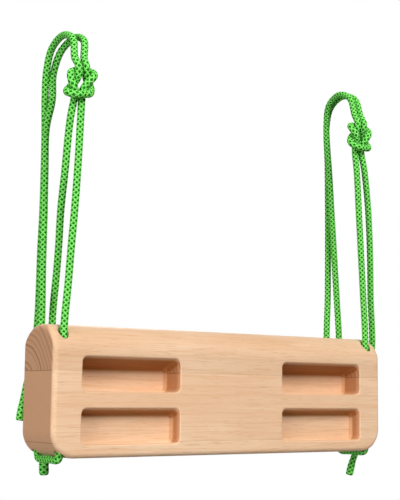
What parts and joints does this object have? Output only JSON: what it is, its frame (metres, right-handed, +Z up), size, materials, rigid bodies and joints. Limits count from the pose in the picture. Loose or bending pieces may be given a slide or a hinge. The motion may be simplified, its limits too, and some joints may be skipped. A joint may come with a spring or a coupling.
{
  "type": "hangboard",
  "caption": "Portable wooden finger-training board of glued staves with finger pockets in two rows, hung from a bar by knotted cord loops through holes at its ends",
  "frame": {"origin": "on the axis of the bar that the loops hang on, midway between the two pairs of loops; the middle of the board is 305 mm below and 2 mm in front of it", "axes": "+X along the board to the right as seen from the pockets, +Y from the pocket side to the back, +Z up"},
  "size_m": [0.4113, 0.079, 0.4264],
  "materials": {
    "beech": "sanded bare beech, satin, with fine grain",
    "braided_cord": "braided sheath, light green with dark green flecks"
  },
  "bodies": {
    "loops_on_bar": {"left_outer_bar_bend": "braided_cord", "left_inner_bar_bend": "braided_cord", "right_outer_bar_bend": "braided_cord", "right_inner_bar_bend": "braided_cord"},
    "board_and_cords": {"upper_stave": "beech", "middle_stave": "beech", "lower_stave": "beech", "left_upper_bight": "braided_cord", "left_rear_strand": "braided_cord", "left_back_hole_cord": "braided_cord", "left_under_cord": "braided_cord", "left_front_hole_cord": "braided_cord", "left_front_strand": "braided_cord", "left_lower_bight": "braided_cord", "left_front_tail": "braided_cord", "left_rear_tail": "braided_cord", "right_upper_bight": "braided_cord", "right_rear_strand": "braided_cord", "right_back_hole_cord": "braided_cord", "right_under_cord": "braided_cord", "right_front_hole_cord": "braided_cord", "right_front_strand": "braided_cord", "right_lower_bight": "braided_cord", "right_front_tail": "braided_cord", "right_rear_tail": "braided_cord"}
  },
  "joints": [
    {"name": "bar_swing", "type": "hinge", "parent": "loops_on_bar", "child": "board_and_cords", "pos_m": [0, 0, 0], "axis": [1, 0, 0], "range_deg": [-30, 30], "deforming": ["left_outer_bar_bend", "left_inner_bar_bend", "right_outer_bar_bend", "right_inner_bar_bend"]}
  ]
}
